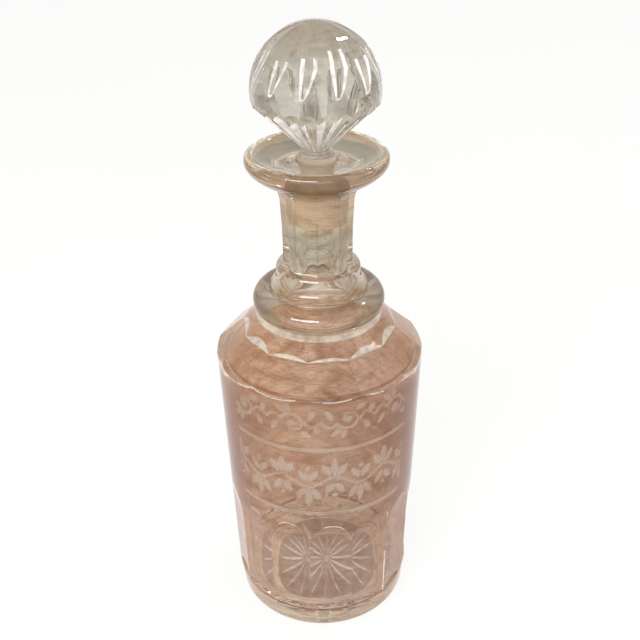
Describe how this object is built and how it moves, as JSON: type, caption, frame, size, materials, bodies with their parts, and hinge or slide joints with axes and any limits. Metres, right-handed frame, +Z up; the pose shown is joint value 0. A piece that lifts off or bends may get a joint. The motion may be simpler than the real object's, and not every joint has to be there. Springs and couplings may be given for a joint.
{
  "type": "decanter",
  "caption": "Cylindrical cut-glass spirit decanter with a flared lip, a panelled neck above a rounded ring, and a solid fluted ball stopper ground to the neck.",
  "frame": {"origin": "centre of the underside, on the plane that the decanter stands on", "axes": "+Z up along the axis of the bottle and stopper; -Y towards the front"},
  "size_m": [0.1056, 0.1056, 0.32],
  "materials": {
    "body_glass": "clear, cut and polished, with a faint warm tint",
    "ring_glass": "clear, fire polished",
    "stopper_glass": "clear, cut and polished, with the peg ground matt"
  },
  "bodies": {
    "bottle": {"bottle": "body_glass", "neck_ring": "ring_glass"},
    "stopper": {"stopper": "stopper_glass"}
  },
  "joints": [
    {"name": "stopper_lift", "type": "slide", "parent": "bottle", "child": "stopper", "axis": [0, 0, 1], "range_m": [0, 0.06]}
  ]
}
